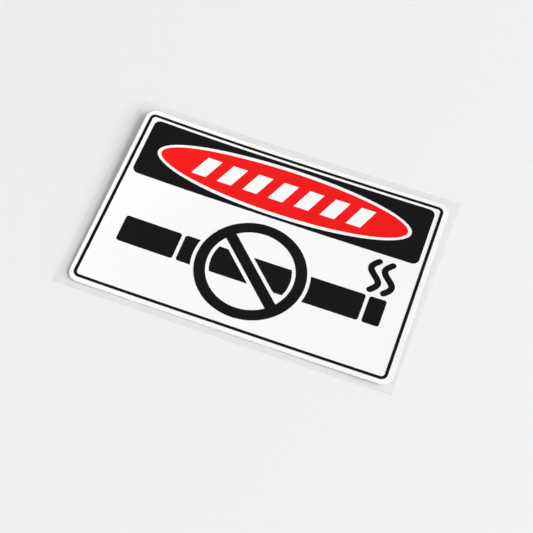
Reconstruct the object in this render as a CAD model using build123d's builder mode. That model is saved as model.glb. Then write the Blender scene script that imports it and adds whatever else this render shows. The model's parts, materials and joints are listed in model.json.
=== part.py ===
from build123d import *
from math import cos, degrees, radians, sin, sqrt, tan
import os

os.makedirs("parts", exist_ok=True)

# A self-adhesive sign, face up on its clear release liner. Millimetres, +Z up, +Y towards the header.
# The origin is on the floor, under the middle of the liner.

# Face film: white vinyl with its adhesive, kiss-cut to a rounded rectangle
film_width = 150.0
film_height = 100.0
film_corner_radius = 5.0
film_thickness = 0.16

# Release liner: a sharp-cornered sheet of clear film, larger than the sign all round
liner_side_margin = 4.35
liner_end_margin = 3.5
liner_right_lean = 1.2  # degrees: its right edge is cut a little out of square, narrower at the foot
liner_thickness = 0.12
film_offset_x = 0.55  # the sign sits off the middle of its liner

# Printed layers, a little off the middle of the cut shape, as a real press leaves them
ink_thickness = 0.04
print_offset_x = -0.4
print_offset_y = 0.1

# Border line, drawn parallel to the cut edge
border_inset = 2.2  # cut edge to the outer side of the line
border_line_width = 1.45
border_corner_radius = 3.0

# Header panel under the top of the border line, with a white-rimmed oval in it
header_side_gap = 1.95
header_top_gap = 1.3
header_height = 31.6
header_corner_radius = 3.1
oval_side_gap = 7.2
oval_top_gap = 2.0
oval_low_gap = 1.4  # less than the top gap, as the oval sits a touch low
oval_rim = 1.8

# Curl: the middle lies flat, and each end bends up in a gentle arc from a straight bend line
left_bend_radius = 1000.0
left_bend_slant = 20.0  # degrees from the short side, so that the top left corner lifts most
left_bend_top_x = -5.0  # where the slanted bend line meets the liner's top edge
right_bend_radius = 2700.0
right_bend_x = 7.5

# Sizes and heights that follow from the values above
liner_width = film_width + 2 * liner_side_margin
liner_height = film_height + 2 * liner_end_margin
liner_foot_x = liner_width / 2 - tan(radians(liner_right_lean)) * liner_height
film_bottom = liner_thickness
film_top = film_bottom + film_thickness
ink_top = film_top + ink_thickness
print_x = film_offset_x + print_offset_x
print_y = print_offset_y
border_width = film_width - 2 * border_inset
border_height = film_height - 2 * border_inset
inner_width = border_width - 2 * border_line_width
inner_height = border_height - 2 * border_line_width
header_width = inner_width - 2 * header_side_gap
header_y = print_y + inner_height / 2 - header_top_gap - header_height / 2
rim_width = header_width - 2 * oval_side_gap
rim_height = header_height - oval_top_gap - oval_low_gap
oval_y = header_y + (oval_low_gap - oval_top_gap) / 2
oval_width = rim_width - 2 * oval_rim
oval_height = rim_height - 2 * oval_rim

# The bends run to beyond the liner's far corner, whatever its size
sheet_reach = sqrt(liner_width**2 + liner_height**2)
prism_height = sheet_reach


# Upright planes that the bends are drawn in, with x away from the bend line and y upwards,
# and the plane through the left bend line, where the two bends part
slant_cos = cos(radians(left_bend_slant))
slant_sin = sin(radians(left_bend_slant))
left_top = (left_bend_top_x, liner_height / 2, 0)
left_away = (-slant_cos, slant_sin, 0)
left_plane = Plane(origin=left_top, x_dir=left_away, z_dir=(slant_sin, slant_cos, 0))
left_start = Plane(origin=left_top, z_dir=left_away)
right_plane = Plane(origin=(right_bend_x, 0, 0), x_dir=(1, 0, 0), z_dir=(0, -1, 0))


def curled_end(low, high, plane, radius, side):
    """A layer between two heights, flat up to a bend line and then one arc upwards."""
    turn = degrees(sheet_reach / radius)
    with BuildPart() as end:
        with BuildSketch(plane):
            with BuildLine():
                underside = CenterArc((0, radius), radius - low, -90, turn)
                topside = CenterArc((0, radius), radius - high, -90, turn)
                Line(underside @ 1, topside @ 1)
                Polyline((0, high), (-sheet_reach, high), (-sheet_reach, low), (0, low))
            make_face()
        extrude(amount=2 * sheet_reach, both=True)
        split(bisect_by=left_start, keep=side)
    return end.part


def curled_layer(low, high):
    """A whole layer of the stack, which every piece at that height is cut from."""
    left_end = curled_end(low, high, left_plane, left_bend_radius, Keep.TOP)
    rest = curled_end(low, high, right_plane, right_bend_radius, Keep.BOTTOM)
    with BuildPart() as layer:
        add(left_end)
        add(rest)
    return layer.part


liner_layer = curled_layer(0, film_bottom)
film_layer = curled_layer(film_bottom, film_top)
ink_layer = curled_layer(film_top, ink_top)

with BuildPart() as release_liner:
    with BuildSketch():
        with BuildLine():
            Polyline(
                (-liner_width / 2, liner_height / 2),
                (liner_width / 2, liner_height / 2),
                (liner_foot_x, -liner_height / 2),
                (-liner_width / 2, -liner_height / 2),
                close=True,
            )
        make_face()
    extrude(amount=prism_height)
    add(liner_layer, mode=Mode.INTERSECT)

with BuildPart() as face_film:
    with BuildSketch():
        with Locations((film_offset_x, 0)):
            RectangleRounded(film_width, film_height, film_corner_radius)
    extrude(amount=prism_height)
    add(film_layer, mode=Mode.INTERSECT)

with BuildPart() as border_line:
    with BuildSketch():
        with Locations((print_x, print_y)):
            RectangleRounded(border_width, border_height, border_corner_radius)
            inner_radius = border_corner_radius - border_line_width
            RectangleRounded(inner_width, inner_height, inner_radius, mode=Mode.SUBTRACT)
    extrude(amount=prism_height)
    add(ink_layer, mode=Mode.INTERSECT)

with BuildPart() as header_panel:
    with BuildSketch():
        with Locations((print_x, header_y)):
            RectangleRounded(header_width, header_height, header_corner_radius)
        with Locations((print_x, oval_y)):
            Ellipse(rim_width / 2, rim_height / 2, mode=Mode.SUBTRACT)
    extrude(amount=prism_height)
    add(ink_layer, mode=Mode.INTERSECT)

with BuildPart() as header_oval:
    with BuildSketch():
        with Locations((print_x, oval_y)):
            Ellipse(oval_width / 2, oval_height / 2)
    extrude(amount=prism_height)
    add(ink_layer, mode=Mode.INTERSECT)

release_liner.part.label = "release_liner"
face_film.part.label = "face_film"
border_line.part.label = "border_line"
header_panel.part.label = "header_panel"
header_oval.part.label = "header_oval"

export_step(release_liner.part, "parts/release_liner.step")
export_step(face_film.part, "parts/face_film.step")
export_step(border_line.part, "parts/border_line.step")
export_step(header_panel.part, "parts/header_panel.step")
export_step(header_oval.part, "parts/header_oval.step")
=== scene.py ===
import json
import math

import bmesh
import bpy
from mathutils import Matrix, Vector
from mathutils.bvhtree import BVHTree


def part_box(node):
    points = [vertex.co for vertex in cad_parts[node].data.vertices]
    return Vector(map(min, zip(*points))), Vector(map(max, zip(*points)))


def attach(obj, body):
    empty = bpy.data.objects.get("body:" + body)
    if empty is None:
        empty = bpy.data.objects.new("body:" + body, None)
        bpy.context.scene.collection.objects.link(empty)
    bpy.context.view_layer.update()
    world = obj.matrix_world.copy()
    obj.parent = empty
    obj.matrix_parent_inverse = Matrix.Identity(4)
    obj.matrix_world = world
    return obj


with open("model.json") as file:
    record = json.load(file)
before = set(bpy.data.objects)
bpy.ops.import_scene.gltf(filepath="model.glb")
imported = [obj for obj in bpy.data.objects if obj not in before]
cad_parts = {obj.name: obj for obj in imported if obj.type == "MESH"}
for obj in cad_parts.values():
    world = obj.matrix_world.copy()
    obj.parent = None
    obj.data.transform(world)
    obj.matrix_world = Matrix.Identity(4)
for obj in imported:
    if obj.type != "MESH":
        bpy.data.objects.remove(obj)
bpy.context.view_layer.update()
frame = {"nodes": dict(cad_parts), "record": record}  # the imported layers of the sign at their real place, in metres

nodes = frame["nodes"]
mm = 0.001
print("frame loaded:", ", ".join(sorted(nodes)))


# Camera

photoCamera = {
    "lensMm": 93.91,
    "sensorMm": 36,  # the square picture's side
    "clipStartM": 0.01,
    "azimuthDeg": 13.2,
    "elevationDeg": 58.17,
    "rollDeg": 7.17,  # the camera was held a little askew
    "targetMm": (6.08, -11.6, 0.0),
    "distanceMm": 622.8,
}


def directionTo(azimuthDeg, elevationDeg):  # azimuth 0 is in front of the sign, 90 to its right
    azimuth = math.radians(azimuthDeg)
    elevation = math.radians(elevationDeg)
    flat = math.cos(elevation)
    return Vector((math.sin(azimuth) * flat, -math.cos(azimuth) * flat, math.sin(elevation)))


def makeCamera(settings):
    back = directionTo(settings["azimuthDeg"], settings["elevationDeg"])
    roll = Matrix.Rotation(math.radians(settings["rollDeg"]), 3, back)
    side = roll @ Vector((0, 0, 1)).cross(back).normalized()
    up = back.cross(side)
    data = bpy.data.cameras.new("photoCamera")
    data.sensor_width = settings["sensorMm"]
    data.lens = settings["lensMm"]
    data.clip_start = settings["clipStartM"]
    camera = bpy.data.objects.new("photoCamera", data)
    bpy.context.scene.collection.objects.link(camera)
    camera.matrix_world = Matrix((side, up, back)).transposed().to_4x4()
    camera.location = Vector(settings["targetMm"]) * mm + back * settings["distanceMm"] * mm
    bpy.context.scene.camera = camera


makeCamera(photoCamera)
bpy.context.scene.view_settings.view_transform = "Standard"
print("camera placed")


# Nodes and colours

def linearColour(hexValue):
    channels = [int(hexValue[i:i + 2], 16) / 255 for i in (0, 2, 4)]
    linear = [c / 12.92 if c <= 0.04045 else ((c + 0.055) / 1.055) ** 2.4 for c in channels]
    return (*linear, 1.0)


def addNode(tree, kind, settings=None, values=None, links=None):
    node = tree.nodes.new(kind)
    for name, value in (settings or {}).items():
        setattr(node, name, value)
    for name, value in (values or {}).items():
        node.inputs[name].default_value = value
    for name, socket in (links or {}).items():
        tree.links.new(socket, node.inputs[name])
    return node


def newMaterial(name):
    material = bpy.data.materials.new(name)
    material.use_nodes = True
    material.node_tree.nodes.clear()
    return material, material.node_tree


def noiseAt(tree, place, sizeMm, detail=2.0):  # noise whose lumps are sizeMm across
    return addNode(tree, "ShaderNodeTexNoise", values={"Scale": 1 / (sizeMm * mm), "Detail": detail},
                   links={"Vector": place.outputs["Object"]}).outputs["Fac"]


mottleRamp = {  # the noise stays mostly between these, so both of a material's colours are reached
    "low": 0.3,
    "high": 0.7,
}


def sheetMaterial(name, settings):  # one recipe for the vinyl and the inks, with their own values
    material, tree = newMaterial(name)
    place = addNode(tree, "ShaderNodeTexCoord")
    ramp = addNode(tree, "ShaderNodeValToRGB", links={
        "Fac": noiseAt(tree, place, settings["mottleMm"])})
    stops = ramp.color_ramp.elements
    stops[0].position = mottleRamp["low"]
    stops[0].color = linearColour(settings["hexLow"])
    stops[1].position = mottleRamp["high"]
    stops[1].color = linearColour(settings["hexHigh"])
    gloss = addNode(tree, "ShaderNodeMapRange", values={
        "To Min": settings["roughnessLow"], "To Max": settings["roughnessHigh"]}, links={
        "Value": noiseAt(tree, place, settings["glossMm"])})
    peel = addNode(tree, "ShaderNodeBump", values={
        "Strength": 1.0, "Distance": settings["peelDepthMm"] * mm}, links={
        "Height": noiseAt(tree, place, settings["peelMm"], detail=1.0)})
    body = addNode(tree, "ShaderNodeBsdfPrincipled", values={
        "IOR": settings["ior"], "Specular IOR Level": settings["shine"]}, links={
        "Base Color": ramp.outputs["Color"],
        "Roughness": gloss.outputs["Result"],
        "Normal": peel.outputs["Normal"]})
    addNode(tree, "ShaderNodeOutputMaterial", links={"Surface": body.outputs["BSDF"]})
    return material


# Calendered PVC film, pressed between steel rolls: an even white, softly shiny, with a faint orange peel
calenderedVinyl = {
    "hexLow": "F9F9F8",
    "hexHigh": "FBFBFA",
    "ior": 1.53,
    "shine": 0.5,
    "roughnessLow": 0.22,
    "roughnessHigh": 0.28,
    "mottleMm": 24,  # patches of the two colours
    "glossMm": 9,  # patches of more and less shine
    "peelMm": 1.6,  # dimples of the orange peel
    "peelDepthMm": 0.004,
}

# Solvent screen ink, flooded on in one pass: flat and dense, a little smoother than the film
blackScreenInk = {
    "hexLow": "0D0D0D",
    "hexHigh": "111111",
    "ior": 1.5,
    "shine": 0.4,
    "roughnessLow": 0.2,
    "roughnessHigh": 0.27,
    "mottleMm": 18,
    "glossMm": 7,
    "peelMm": 1.2,
    "peelDepthMm": 0.003,
}

# The same kind of ink in signal red: strong and even, with the film's white lifting it from beneath
redScreenInk = {
    "hexLow": "EF1615",
    "hexHigh": "F41A18",
    "ior": 1.5,
    "shine": 0.4,
    "roughnessLow": 0.2,
    "roughnessHigh": 0.27,
    "mottleMm": 18,
    "glossMm": 7,
    "peelMm": 1.2,
    "peelDepthMm": 0.003,
}

# Clear polyester release liner, silicone coated: a little mirroring, a faint haze, and the table seen
# through it a shade darker
polyesterLiner = {
    "ior": 1.57,
    "roughness": 0.1,
    "mirrorSides": 1.6,  # top and underside both mirror, and the top face shows it for both
    "haze": 0.05,
    "hazeHex": "F0ECDF",
    "tintHex": "FCFCFC",
    "waveMm": 14,
    "waveDepthMm": 0.02,
    "liftStartMm": 0.5,  # above this height its mirroring fades: painted light for the light that gets in under its curled ends
    "liftEndMm": 2.2,
    "liftedShare": 0.1,
}


def linerMaterial(settings):
    material, tree = newMaterial("polyesterLiner")
    place = addNode(tree, "ShaderNodeTexCoord")
    wave = addNode(tree, "ShaderNodeBump", values={
        "Strength": 1.0, "Distance": settings["waveDepthMm"] * mm}, links={
        "Height": noiseAt(tree, place, settings["waveMm"], detail=1.0)})
    clear = addNode(tree, "ShaderNodeBsdfTransparent", values={
        "Color": linearColour(settings["tintHex"])})
    mirror = addNode(tree, "ShaderNodeBsdfGlossy", values={"Roughness": settings["roughness"]},
                     links={"Normal": wave.outputs["Normal"]})
    haze = addNode(tree, "ShaderNodeBsdfDiffuse", values={"Color": linearColour(settings["hazeHex"])})
    share = addNode(tree, "ShaderNodeFresnel", values={"IOR": settings["ior"]},
                    links={"Normal": wave.outputs["Normal"]})
    facing = addNode(tree, "ShaderNodeNewGeometry")
    path = addNode(tree, "ShaderNodeLightPath")
    # Shadow rays pass straight through, as the light that a real liner turns back is caught under it
    unseen = addNode(tree, "ShaderNodeMath", {"operation": "MAXIMUM"}, links={
        0: facing.outputs["Backfacing"], 1: path.outputs["Is Shadow Ray"]})
    sides = addNode(tree, "ShaderNodeMapRange", values={
        "To Min": settings["mirrorSides"], "To Max": 0.0}, links={"Value": unseen.outputs["Value"]})
    # Painted light: the mirroring fades with height, so the curled ends look lighter, as if lit from beneath
    height = addNode(tree, "ShaderNodeSeparateXYZ", links={"Vector": place.outputs["Object"]})
    lifted = addNode(tree, "ShaderNodeMapRange", values={
        "From Min": settings["liftStartMm"] * mm, "From Max": settings["liftEndMm"] * mm,
        "To Min": 1.0, "To Max": settings["liftedShare"]}, links={"Value": height.outputs["Z"]})
    seen = addNode(tree, "ShaderNodeMath", {"operation": "MULTIPLY"}, links={
        0: sides.outputs["Result"], 1: lifted.outputs["Result"]})
    mirrored = addNode(tree, "ShaderNodeMath", {"operation": "MULTIPLY"}, links={
        0: share.outputs["Fac"], 1: seen.outputs["Value"]})
    clouded = addNode(tree, "ShaderNodeMapRange", values={
        "To Min": settings["haze"], "To Max": 0.0}, links={"Value": unseen.outputs["Value"]})
    glossy = addNode(tree, "ShaderNodeMixShader", links={0: mirrored.outputs["Value"],
                     1: clear.outputs["BSDF"], 2: mirror.outputs["BSDF"]})
    cloudy = addNode(tree, "ShaderNodeMixShader", links={0: clouded.outputs["Result"],
                     1: glossy.outputs["Shader"], 2: haze.outputs["BSDF"]})
    addNode(tree, "ShaderNodeOutputMaterial", links={"Surface": cloudy.outputs["Shader"]})
    return material


materials = {
    "white_film": sheetMaterial("calenderedVinyl", calenderedVinyl),
    "black_ink": sheetMaterial("blackScreenInk", blackScreenInk),
    "red_ink": sheetMaterial("redScreenInk", redScreenInk),
    "clear_liner": linerMaterial(polyesterLiner),
}

for row in frame["record"]["subparts"]:
    mesh = nodes[row["node"]].data
    mesh.materials.clear()
    mesh.materials.append(materials[row["material_slot"]])
print("materials made")


# Printed shapes that lie on the sheet

inkLayer = {
    "thicknessMm": 0.04,
    "seatMm": 0.01,  # how far its underside goes into what carries it
    "sliceMm": 2.5,  # cuts that let it bend with the sheet
    "blankHalfMm": 1.0,  # half height of a flat shape before it is laid on
    "cutterHalfMm": 2.0,  # the same for a shape that cuts another
    "weldMm": 0.0005,
    "onePlaneDeg": 0.1,  # neighbours bent less than this become one face
    "levelFace": 0.5,  # a face whose normal rises or falls more than this shades smooth
    "sharpDeg": 30,  # an edge bent more than this stays sharp
    "arcStepDeg": 2.5,
    "smallArcStepDeg": 15,
}


def circlePoints(centre, radius, startDeg=0.0, endDeg=360.0, stepDeg=inkLayer["arcStepDeg"]):
    count = max(2, round(abs(endDeg - startDeg) / stepDeg))
    whole = abs(endDeg - startDeg) >= 360
    angles = [math.radians(startDeg + (endDeg - startDeg) * i / count)
              for i in range(count if whole else count + 1)]
    return [(centre[0] + radius * math.cos(a), centre[1] + radius * math.sin(a)) for a in angles]


# Closed outlines in mm, filled round any holes and given a height
def flatSolid(name, loops, halfHeightMm=inkLayer["blankHalfMm"]):
    curve = bpy.data.curves.new(name, "CURVE")
    curve.dimensions = "2D"
    curve.fill_mode = "BOTH"
    curve.extrude = halfHeightMm * mm
    for loop in loops:
        spline = curve.splines.new("POLY")
        spline.points.add(len(loop) - 1)
        for point, (x, y) in zip(spline.points, loop):
            point.co = (x * mm, y * mm, 0, 1)
        spline.use_cyclic_u = True
    shape = bpy.data.objects.new(name + "Curve", curve)
    bpy.context.scene.collection.objects.link(shape)
    bpy.context.view_layer.update()
    mesh = bpy.data.meshes.new_from_object(shape.evaluated_get(bpy.context.evaluated_depsgraph_get()))
    bpy.data.objects.remove(shape)
    mesh.name = name
    welded = bmesh.new()
    welded.from_mesh(mesh)
    bmesh.ops.remove_doubles(welded, verts=welded.verts, dist=inkLayer["weldMm"] * mm)
    bmesh.ops.dissolve_limit(welded, angle_limit=math.radians(inkLayer["onePlaneDeg"]),
                             verts=welded.verts, edges=welded.edges)
    welded.to_mesh(mesh)
    welded.free()
    piece = bpy.data.objects.new(name, mesh)
    bpy.context.scene.collection.objects.link(piece)
    return piece


def cutAway(piece, tool):
    cut = piece.modifiers.new("cut", "BOOLEAN")
    cut.operation = "DIFFERENCE"
    cut.solver = "EXACT"
    cut.object = tool
    bpy.context.view_layer.update()
    done = bpy.data.meshes.new_from_object(piece.evaluated_get(bpy.context.evaluated_depsgraph_get()))
    piece.modifiers.clear()
    piece.data = done
    bpy.data.objects.remove(tool)


def layOn(piece, carrier, slot):  # drops a flat shape onto the curled layer that carries it
    shape = bmesh.new()
    shape.from_mesh(piece.data)
    low = [min(v.co[i] for v in shape.verts) for i in (0, 1)]
    high = [max(v.co[i] for v in shape.verts) for i in (0, 1)]
    step = inkLayer["sliceMm"] * mm
    for axis in (0, 1):
        normal = Vector((1 - axis, axis, 0))
        for i in range(math.ceil(low[axis] / step), math.floor(high[axis] / step) + 1):
            everything = shape.verts[:] + shape.edges[:] + shape.faces[:]
            bmesh.ops.bisect_plane(shape, geom=everything, plane_co=normal * i * step, plane_no=normal)
    surface = BVHTree.FromPolygons([v.co for v in carrier.data.vertices],
                                   [p.vertices for p in carrier.data.polygons])
    above = 1.0
    for vert in shape.verts:
        hit = surface.ray_cast(Vector((vert.co.x, vert.co.y, above)), Vector((0, 0, -1)))[0]
        lift = inkLayer["thicknessMm"] if vert.co.z > 0 else -inkLayer["seatMm"]
        vert.co.z = hit.z + lift * mm
    shape.normal_update()
    for face in shape.faces:
        face.smooth = abs(face.normal.z) > inkLayer["levelFace"]
    for edge in shape.edges:
        edge.smooth = edge.calc_face_angle(0) < math.radians(inkLayer["sharpDeg"])
    shape.to_mesh(piece.data)
    shape.free()
    piece.data.materials.clear()
    piece.data.materials.append(materials[slot])
    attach(piece, "root")


# The printed artwork's own sizes, all in mm

banSymbol = {
    "radius": 25.5,
    "band": 5.2,
    "slashDeg": -45.0,
    "keyline": 1.7,  # white gap left where it crosses the cigarette
    "raise": 0.6,  # above the middle of the white field, with the cigarette and its smoke
}

cigarette = {
    "length": 124.0,
    "height": 14.0,
    "filter": 27.0,
    "ember": 8.0,
    "gap": 1.7,
    "cornerRadius": 1.2,
}

smoke = {
    "strokes": 2,
    "width": 3.0,
    "rise": 15.5,
    "spacing": 6.4,
    "sway": 2.6,
    "clearance": 3.2,  # above the ember
    "shift": 1.2,  # first stroke to the right of the ember's middle
    "steps": 24,  # along each stroke
}

hazardStripes = {
    "count": 7,
    "width": 7.0,
    "pitch": 12.6,
    "height": 10.8,
    "lean": 4.6,
}

borderLow, borderHigh = (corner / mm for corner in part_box("border_line"))
headerLow, headerHigh = (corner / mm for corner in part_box("header_panel"))
ovalLow, ovalHigh = (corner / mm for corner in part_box("header_oval"))
centreX = (borderLow.x + borderHigh.x) / 2
fieldY = (borderLow.y + headerLow.y) / 2 + banSymbol["raise"]
ovalY = (ovalLow.y + ovalHigh.y) / 2


def banLoops(centre, settings, grow=0.0):  # ring with a slash: the outer circle and the two openings
    outer = settings["radius"] + grow
    inner = settings["radius"] - settings["band"] - grow
    half = settings["band"] / 2 + grow
    spread = math.degrees(math.asin(half / inner))
    slash = settings["slashDeg"]
    return [
        circlePoints(centre, outer),
        circlePoints(centre, inner, slash + spread, slash + 180 - spread),
        circlePoints(centre, inner, slash + 180 + spread, slash + 360 - spread),
    ]


def roundedBox(left, bottom, right, top, radius):
    corners = [(right - radius, top - radius, 0), (left + radius, top - radius, 90),
               (left + radius, bottom + radius, 180), (right - radius, bottom + radius, 270)]
    return [point for x, y, start in corners
            for point in circlePoints((x, y), radius, start, start + 90, inkLayer["smallArcStepDeg"])]


def addBanSymbol():
    loops = banLoops((centreX, fieldY), banSymbol)
    layOn(flatSolid("ban_symbol", loops), nodes["face_film"], "black_ink")


def addCigarette():
    left = centreX - cigarette["length"] / 2
    right = left + cigarette["length"]
    low = fieldY - cigarette["height"] / 2
    high = fieldY + cigarette["height"] / 2
    paperStart = left + cigarette["filter"] + cigarette["gap"]
    emberStart = right - cigarette["ember"]
    spans = {
        "cigarette_filter": (left, left + cigarette["filter"]),
        "cigarette_paper": (paperStart, emberStart - cigarette["gap"]),
        "cigarette_ember": (emberStart, right),
    }
    for name, (start, end) in spans.items():
        loop = roundedBox(start, low, end, high, cigarette["cornerRadius"])
        piece = flatSolid(name, [loop])
        if name == "cigarette_paper":
            keylines = banLoops((centreX, fieldY), banSymbol, banSymbol["keyline"])
            cutAway(piece, flatSolid("keylines", keylines, inkLayer["cutterHalfMm"]))
        layOn(piece, nodes["face_film"], "black_ink")


def addSmoke():
    low = fieldY + cigarette["height"] / 2 + smoke["clearance"]
    emberX = centreX + (cigarette["length"] - cigarette["ember"]) / 2
    half = smoke["width"] / 2
    steepest = 2 * math.pi * smoke["sway"] / smoke["rise"]
    turn = -math.degrees(math.atan(steepest))
    capStep = inkLayer["smallArcStepDeg"]
    loops = []
    for i in range(smoke["strokes"]):
        x = emberX + smoke["shift"] - i * smoke["spacing"]
        line = []
        sides = [[], []]
        for t in range(smoke["steps"] + 1):
            phase = 2 * math.pi * t / smoke["steps"]
            px = x + smoke["sway"] * math.sin(phase)
            py = low + smoke["rise"] * t / smoke["steps"]
            lean = math.atan(steepest * math.cos(phase))
            line.append((px, py))
            for side, sign in zip(sides, (1, -1)):
                side.append((px + sign * half * math.cos(lean), py - sign * half * math.sin(lean)))
        topCap = circlePoints(line[-1], half, turn, turn + 180, capStep)[1:-1]
        lowCap = circlePoints(line[0], half, turn + 180, turn + 360, capStep)[1:-1]
        loops.append(sides[0] + topCap + sides[1][::-1] + lowCap)
    layOn(flatSolid("smoke_wisps", loops), nodes["face_film"], "black_ink")


def addHazardStripes():
    loops = []
    half = hazardStripes["height"] / 2
    for i in range(hazardStripes["count"]):
        x = centreX + (i - (hazardStripes["count"] - 1) / 2) * hazardStripes["pitch"]
        left = x - hazardStripes["width"] / 2
        right = x + hazardStripes["width"] / 2
        lean = hazardStripes["lean"] / 2
        loops.append([(left - lean, ovalY - half), (right - lean, ovalY - half),
                      (right + lean, ovalY + half), (left + lean, ovalY + half)])
    layOn(flatSolid("oval_stripes", loops), nodes["header_oval"], "white_film")


addBanSymbol()
addCigarette()
addSmoke()
addHazardStripes()
print("printed shapes laid on")


# Table, lights and world

table = {
    "sizeM": 8.0,
    "dropMm": 0.03,  # keeps it clear of the liner's flat underside
    "hex": "EEEEEE",
    "roughness": 0.6,
}

softboxes = {
    "windowLight": {  # broad and low from the right: it gives the long soft shadow at the left edge
        "watts": 1185.0,
        "azimuthDeg": 93,
        "elevationDeg": 20,
        "distanceM": 7.0,
        "widthM": 8.8,
        "heightM": 4.6,
        "hex": "FEFFF9",
    },
    "fillLight": {  # higher and weak from the left: it keeps that shadow from going too dark
        "watts": 80.0,
        "azimuthDeg": 265,
        "elevationDeg": 50,
        "distanceM": 5.0,
        "widthM": 2.3,
        "heightM": 2.3,
        "hex": "F7F6FF",
    },
}

room = {
    "wallHex": "F2F1FB",  # cool, as is the fill light, which gives the shadow its faint violet
    "ceilingHex": "6D6B70",  # grey, so that the inks mirror little and stay deep
    "wallTopDeg": 25,
}


def makeTable(settings):
    mesh = bpy.data.meshes.new("table")
    half = settings["sizeM"] / 2
    z = -settings["dropMm"] * mm
    corners = [(-half, -half, z), (half, -half, z), (half, half, z), (-half, half, z)]
    mesh.from_pydata(corners, [], [(0, 1, 2, 3)])
    top = bpy.data.objects.new("table", mesh)
    bpy.context.scene.collection.objects.link(top)
    material, tree = newMaterial("mattBoard")
    board = addNode(tree, "ShaderNodeBsdfPrincipled", values={
        "Base Color": linearColour(settings["hex"]), "Roughness": settings["roughness"]})
    addNode(tree, "ShaderNodeOutputMaterial", links={"Surface": board.outputs["BSDF"]})
    mesh.materials.append(material)


def makeSoftbox(name, settings):
    data = bpy.data.lights.new(name, "AREA")
    data.shape = "RECTANGLE"
    data.size = settings["widthM"]
    data.size_y = settings["heightM"]
    data.energy = settings["watts"]
    data.color = linearColour(settings["hex"])[:3]
    lamp = bpy.data.objects.new(name, data)
    bpy.context.scene.collection.objects.link(lamp)
    away = directionTo(settings["azimuthDeg"], settings["elevationDeg"])
    lamp.location = away * settings["distanceM"]
    lamp.rotation_mode = "QUATERNION"
    lamp.rotation_quaternion = away.to_track_quat("Z", "Y")


def makeRoom(settings):
    world = bpy.data.worlds.new("room")
    bpy.context.scene.world = world
    world.use_nodes = True
    tree = world.node_tree
    tree.nodes.clear()
    place = addNode(tree, "ShaderNodeTexCoord")
    split = addNode(tree, "ShaderNodeSeparateXYZ", links={"Vector": place.outputs["Generated"]})
    height = addNode(tree, "ShaderNodeMapRange", {"interpolation_type": "SMOOTHSTEP"}, {
        "From Max": math.sin(math.radians(settings["wallTopDeg"]))}, {"Value": split.outputs["Z"]})
    ramp = addNode(tree, "ShaderNodeValToRGB", links={"Fac": height.outputs["Result"]})
    stops = ramp.color_ramp.elements
    stops[0].color = linearColour(settings["wallHex"])
    stops[1].color = linearColour(settings["ceilingHex"])
    light = addNode(tree, "ShaderNodeBackground", links={"Color": ramp.outputs["Color"]})
    addNode(tree, "ShaderNodeOutputWorld", links={"Surface": light.outputs["Background"]})


makeTable(table)
for name, settings in softboxes.items():
    makeSoftbox(name, settings)
makeRoom(room)
print("table, lights and room made")
